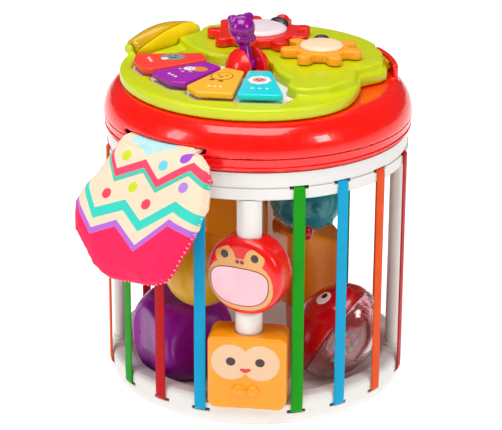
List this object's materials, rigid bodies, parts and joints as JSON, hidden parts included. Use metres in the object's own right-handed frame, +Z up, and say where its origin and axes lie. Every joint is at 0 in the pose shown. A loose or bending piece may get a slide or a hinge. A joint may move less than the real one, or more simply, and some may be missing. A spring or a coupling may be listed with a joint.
{
  "type": "baby activity drum",
  "caption": "Round baby activity toy: a cage of elastic bands round soft shapes, with two spinning beads on a rod, a padded cloth flap and a music head with keys, gears, a rocking bear and rollers",
  "frame": {"origin": "centre of the base plate's underside, where the drum's axis meets the table", "axes": "+Z up the drum's axis, -Y to the front where the bead rod stands, +X to the right seen from the front"},
  "size_m": [0.1988, 0.2105, 0.228],
  "materials": {
    "white_plastic": "moulded white ABS, satin gloss",
    "post_plastic": "moulded white ABS, satin gloss",
    "rod_plastic": "moulded white ABS, glossy",
    "screw_steel": "zinc-plated steel",
    "orange_elastic": "smooth moulded elastic, satin",
    "green_elastic": "smooth moulded elastic, satin",
    "red_elastic": "smooth moulded elastic, satin",
    "blue_elastic": "smooth moulded elastic, satin",
    "red_plastic": "moulded red ABS, high gloss",
    "lime_plastic": "moulded lime ABS, satin gloss",
    "bed_plastic": "moulded white ABS, satin gloss",
    "red_key_plastic": "moulded red ABS with a printed picture",
    "purple_key_plastic": "moulded purple ABS with a printed picture",
    "yellow_key_plastic": "moulded golden ABS with a printed picture",
    "cyan_key_plastic": "moulded cyan ABS with a printed picture",
    "dome_rubber": "silicone, matt",
    "board_laminate": "solder-masked laminate",
    "speaker_plastic": "black paper cone and frame",
    "battery_sleeve": "shrink sleeve, glossy",
    "contact_steel": "nickel-plated spring steel",
    "bear_plastic": "moulded purple ABS, high gloss",
    "gear_red_plastic": "moulded red ABS, high gloss",
    "gear_orange_plastic": "moulded orange ABS, satin gloss",
    "pink_plastic": "pale pink cap, printed",
    "peach_plastic": "peach cap, printed",
    "yellow_plastic": "moulded yellow ABS, high gloss",
    "amber_plastic": "tinted clear plastic, high gloss",
    "frog_red_plastic": "moulded red ABS, high gloss",
    "tan_print": "printed film, satin",
    "mirror_film": "acrylic mirror",
    "bead_orange_plastic": "moulded orange ABS, high gloss",
    "cream_print": "printed film, satin",
    "print_cloth": "padded printed cotton",
    "purple_plastic": "moulded purple ABS, high gloss",
    "mustard_plastic": "moulded mustard ABS, satin gloss",
    "coral_plastic": "moulded orange-red ABS",
    "block_orange_plastic": "moulded orange ABS, satin gloss",
    "teal_plastic": "moulded teal ABS, high gloss",
    "rattle_red_plastic": "moulded dark red ABS, high gloss",
    "clear_plastic": "clear styrene, high gloss",
    "seed_plastic": "small moulded beads"
  },
  "bodies": {
    "drum": {"base_tray": "white_plastic", "base_plate": "white_plastic", "left_post": "post_plastic", "right_post": "post_plastic", "back_post": "post_plastic", "bead_rod": "rod_plastic", "case_screws": "screw_steel", "orange_bands": "orange_elastic", "green_bands": "green_elastic", "red_bands": "red_elastic", "blue_bands": "blue_elastic", "upper_ring": "white_plastic", "head_base": "red_plastic", "head_shell": "red_plastic", "top_panel": "lime_plastic", "key_bed": "bed_plastic", "red_dome": "dome_rubber", "purple_dome": "dome_rubber", "yellow_dome": "dome_rubber", "cyan_dome": "dome_rubber", "circuit_board": "board_laminate", "speaker": "speaker_plastic", "batteries": "battery_sleeve", "battery_contacts": "contact_steel", "battery_door": "red_plastic", "bear_dome": "gear_red_plastic", "bear_pin": "screw_steel", "gear_posts": "rod_plastic", "gear_screws": "screw_steel", "barrel_axle": "screw_steel", "roller_axle": "screw_steel", "cloth_flap": "print_cloth", "purple_block": "purple_plastic", "mustard_ball": "mustard_plastic", "coral_block": "coral_plastic", "orange_block": "block_orange_plastic", "teal_ball": "teal_plastic", "amber_block": "amber_plastic", "rattle_bird": "rattle_red_plastic", "rattle_window": "clear_plastic", "rattle_beads": "seed_plastic"},
    "red_key_body": {"red_key": "red_key_plastic"},
    "purple_key_body": {"purple_key": "purple_key_plastic"},
    "yellow_key_body": {"yellow_key": "yellow_key_plastic"},
    "cyan_key_body": {"cyan_key": "cyan_key_plastic"},
    "red_gear_body": {"red_gear": "gear_red_plastic", "red_gear_face": "pink_plastic"},
    "orange_gear_body": {"orange_gear": "gear_orange_plastic", "orange_gear_face": "peach_plastic"},
    "bear_body": {"bear_lever": "bear_plastic"},
    "barrel_body": {"barrel_shell": "yellow_plastic", "barrel_window": "amber_plastic"},
    "roller_body": {"click_roller": "amber_plastic"},
    "frog_body": {"frog_bead": "frog_red_plastic", "frog_face": "tan_print", "frog_mirror": "mirror_film"},
    "square_body": {"square_bead": "bead_orange_plastic", "square_face": "cream_print"},
    "switch_body": {"power_switch": "rod_plastic"}
  },
  "joints": [
    {"name": "red_key_press", "type": "slide", "parent": "drum", "child": "red_key_body", "axis": [0, 0, -1], "range_m": [0, 0.002], "stiffness_N_per_m": 300, "deforming": ["red_dome"]},
    {"name": "purple_key_press", "type": "slide", "parent": "drum", "child": "purple_key_body", "axis": [0, 0, -1], "range_m": [0, 0.002], "stiffness_N_per_m": 300, "deforming": ["purple_dome"]},
    {"name": "yellow_key_press", "type": "slide", "parent": "drum", "child": "yellow_key_body", "axis": [0, 0, -1], "range_m": [0, 0.002], "stiffness_N_per_m": 300, "deforming": ["yellow_dome"]},
    {"name": "cyan_key_press", "type": "slide", "parent": "drum", "child": "cyan_key_body", "axis": [0, 0, -1], "range_m": [0, 0.002], "stiffness_N_per_m": 300, "deforming": ["cyan_dome"]},
    {"name": "red_gear_spin", "type": "hinge", "parent": "drum", "child": "red_gear_body", "pos_m": [-0.0015, 0.043, 0.2005], "axis": [0, 0, 1], "continuous": true},
    {"name": "orange_gear_spin", "type": "hinge", "parent": "drum", "child": "orange_gear_body", "pos_m": [0.03747, 0.00948, 0.2005], "axis": [0, 0, 1], "continuous": true},
    {"name": "bear_swing", "type": "hinge", "parent": "drum", "child": "bear_body", "pos_m": [-0.0062, -0.0054, 0.198], "axis": [0.8192, 0.5736, 0], "range_deg": [-1, 35]},
    {"name": "barrel_roll", "type": "hinge", "parent": "drum", "child": "barrel_body", "pos_m": [-0.06188, 0.04748, 0.1976], "axis": [-0.6088, -0.7934, 0], "continuous": true},
    {"name": "roller_spin", "type": "hinge", "parent": "drum", "child": "roller_body", "pos_m": [0.07153, 0.02187, 0.1932], "axis": [-0.2924, 0.9563, 0], "continuous": true},
    {"name": "frog_spin", "type": "hinge", "parent": "drum", "child": "frog_body", "pos_m": [0, -0.0845, 0.098], "axis": [0, 0, 1], "continuous": true},
    {"name": "square_spin", "type": "hinge", "parent": "drum", "child": "square_body", "pos_m": [0, -0.0845, 0.038], "axis": [0, 0, 1], "continuous": true},
    {"name": "power_slide", "type": "slide", "parent": "drum", "child": "switch_body", "axis": [1, 0, 0], "range_m": [-0.003, 0.003]}
  ],
  "couplings": [
    {"joint": "orange_gear_spin", "follows": "red_gear_spin", "ratio": -1.2857}
  ]
}
